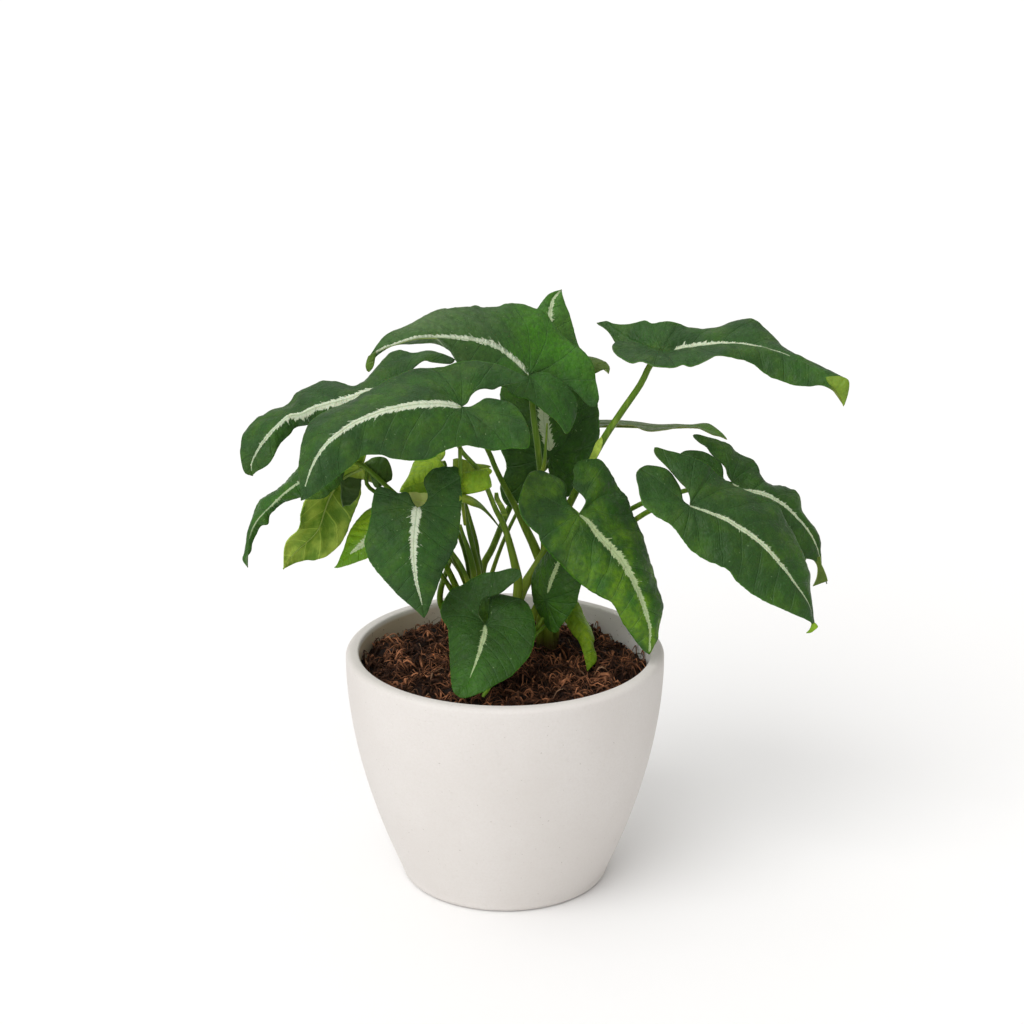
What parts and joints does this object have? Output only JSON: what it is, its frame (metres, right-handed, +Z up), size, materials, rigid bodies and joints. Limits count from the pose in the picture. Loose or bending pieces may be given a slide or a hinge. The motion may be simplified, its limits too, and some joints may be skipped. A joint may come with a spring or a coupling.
{
  "type": "potted arrowhead plant",
  "caption": "Arrow-leaved house plant with silver midribs on thin arching stalks, rooted in coarse coir soil in a plain round white pot.",
  "frame": {"origin": "centre of the pot's flat base, on the pot's axis", "axes": "+Z up along the pot's axis; -Y is the front, the side that the picture shows; +X is the picture's right"},
  "size_m": [0.2797, 0.1645, 0.274],
  "materials": {
    "pot_white": "matte, unglazed, with fine pits",
    "soil_brown": "rough coir fibre",
    "stalk_green": "smooth, slightly glossy",
    "leaf_dark_green": "velvety satin",
    "leaf_pale_green": "satin"
  },
  "bodies": {
    "root": {"pot": "pot_white", "soil": "soil_brown", "stalks_left": "stalk_green", "stalks_centre": "stalk_green", "stalks_right": "stalk_green", "blade_top": "leaf_dark_green", "blade_front_left": "leaf_dark_green", "blade_front_right": "leaf_dark_green", "blade_upper_right": "leaf_dark_green", "blade_back_upright": "leaf_dark_green", "blade_far_left": "leaf_dark_green", "blade_low_left_narrow": "leaf_dark_green", "blade_low_left_pale": "leaf_pale_green", "blade_left_young": "leaf_pale_green", "blade_front_heart": "leaf_dark_green", "blade_rim_heart": "leaf_dark_green", "blade_centre_small": "leaf_dark_green", "blade_right_hanging": "leaf_pale_green", "blade_right_front": "leaf_dark_green", "blade_right_behind": "leaf_dark_green", "blade_back_flat": "leaf_dark_green", "blade_back_small": "leaf_dark_green", "blade_young_left": "leaf_pale_green", "blade_young_curled": "leaf_pale_green"}
  },
  "joints": []
}
